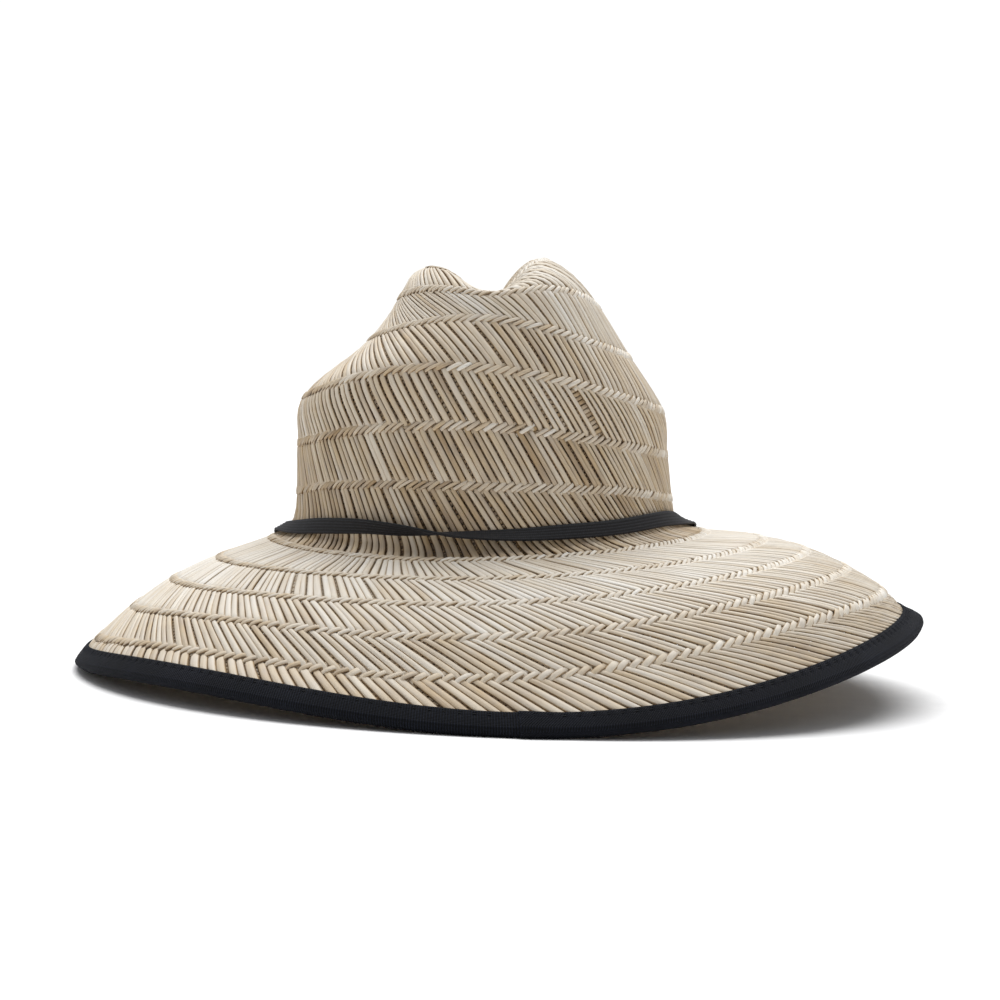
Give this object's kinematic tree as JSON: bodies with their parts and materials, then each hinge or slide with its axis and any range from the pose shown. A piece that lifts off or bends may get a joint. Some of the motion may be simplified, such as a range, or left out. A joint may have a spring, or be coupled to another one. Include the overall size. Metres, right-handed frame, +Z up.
{
  "type": "beach hat",
  "caption": "Wide-brimmed woven rush sun hat with a creased crown, a drooping brim, a bound edge and a flat elastic chin strap.",
  "frame": {"origin": "middle of the hat's box, on the surface that the brim rests on", "axes": "+Z up, -Y towards the back of the wearer's head as seen in the picture, +X to the right of that view"},
  "size_m": [0.3844, 0.4212, 0.1927],
  "materials": {
    "rush_straw": "dried natural rush stems, woven, matt with a faint waxy sheen",
    "binding_tape": "folded dark cotton tape, fine rib and twill, matt",
    "strap_elastic": "flat ribbed elastic, matt"
  },
  "bodies": {
    "root": {"crown": "rush_straw", "brim": "rush_straw", "brim_binding": "binding_tape", "chin_strap": "strap_elastic"}
  },
  "joints": []
}
